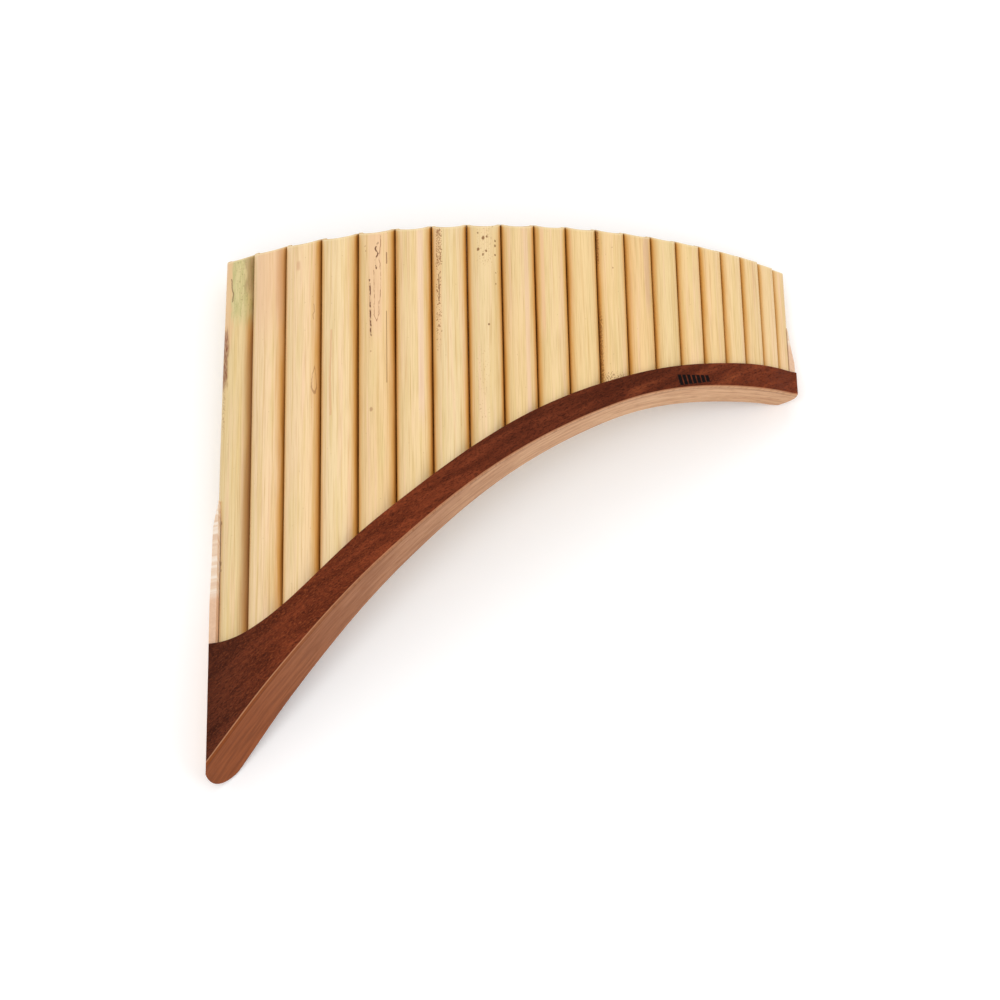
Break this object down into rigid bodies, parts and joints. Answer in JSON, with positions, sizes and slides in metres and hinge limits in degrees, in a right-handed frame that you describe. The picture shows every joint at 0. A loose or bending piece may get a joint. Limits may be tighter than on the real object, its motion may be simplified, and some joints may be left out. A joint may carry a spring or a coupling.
{
  "type": "pan flute",
  "caption": "Curved pan flute of bamboo tubes stopped with cork and beeswax, held at the foot by a swept mahogany shoe with pale end cheeks.",
  "frame": {"origin": "middle of the bounding box's bottom face, with the flute lying on its hollow side", "axes": "+X from the bass end to the treble end, +Y along the tubes to the mouths, +Z out of the bulging side"},
  "size_m": [0.314, 0.3002, 0.0659],
  "materials": {
    "bamboo": "satin",
    "mahogany": "satin",
    "maple": "satin",
    "cork": "matte",
    "beeswax": "matte"
  },
  "bodies": {
    "root": {"tube_01": "bamboo", "tube_02": "bamboo", "tube_03": "bamboo", "tube_04": "bamboo", "tube_05": "bamboo", "tube_06": "bamboo", "tube_07": "bamboo", "tube_08": "bamboo", "tube_09": "bamboo", "tube_10": "bamboo", "tube_11": "bamboo", "tube_12": "bamboo", "tube_13": "bamboo", "tube_14": "bamboo", "tube_15": "bamboo", "tube_16": "bamboo", "tube_17": "bamboo", "tube_18": "bamboo", "tube_19": "bamboo", "tube_20": "bamboo", "cork_01": "cork", "cork_02": "cork", "cork_03": "cork", "cork_04": "cork", "cork_05": "cork", "cork_06": "cork", "cork_07": "cork", "cork_08": "cork", "cork_09": "cork", "cork_10": "cork", "cork_11": "cork", "cork_12": "cork", "cork_13": "cork", "cork_14": "cork", "cork_15": "cork", "cork_16": "cork", "cork_17": "cork", "cork_18": "cork", "cork_19": "cork", "cork_20": "cork", "beeswax_plugs": "beeswax", "front_board": "mahogany", "back_board": "mahogany", "bottom_rail": "mahogany", "bass_cheek": "maple", "treble_cheek": "maple"}
  },
  "joints": []
}
